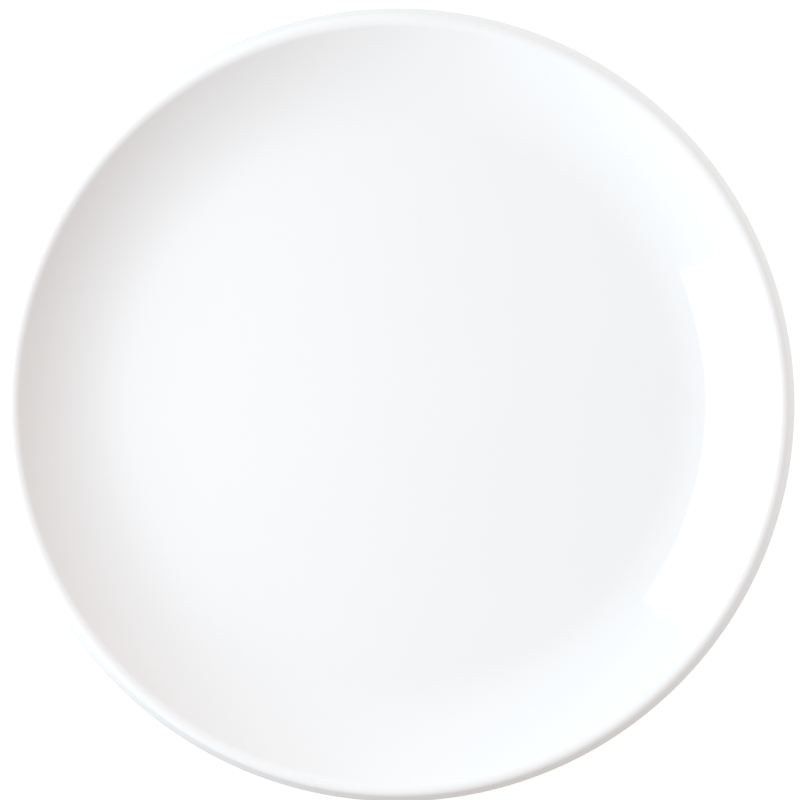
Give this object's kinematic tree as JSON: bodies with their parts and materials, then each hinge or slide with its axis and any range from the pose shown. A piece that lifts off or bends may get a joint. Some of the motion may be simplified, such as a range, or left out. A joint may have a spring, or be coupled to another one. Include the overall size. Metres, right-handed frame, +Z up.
{
  "type": "breakfast plate",
  "caption": "Round white coupe breakfast plate: flat well, smoothly rising wall and full-round lip under a glossy glaze, standing on a bare foot ring.",
  "frame": {"origin": "centre of the foot ring, on the plane that the plate stands on", "axes": "+Z up along the axis that the plate is turned about; +X and +Y are level and otherwise free"},
  "size_m": [0.22, 0.22, 0.0234],
  "materials": {
    "bare_porcelain": "matte",
    "white_glaze": "gloss",
    "base_white_glaze": "gloss"
  },
  "bodies": {
    "root": {"porcelain_body": "bare_porcelain", "glaze_coat": "white_glaze", "base_glaze": "base_white_glaze"}
  },
  "joints": []
}
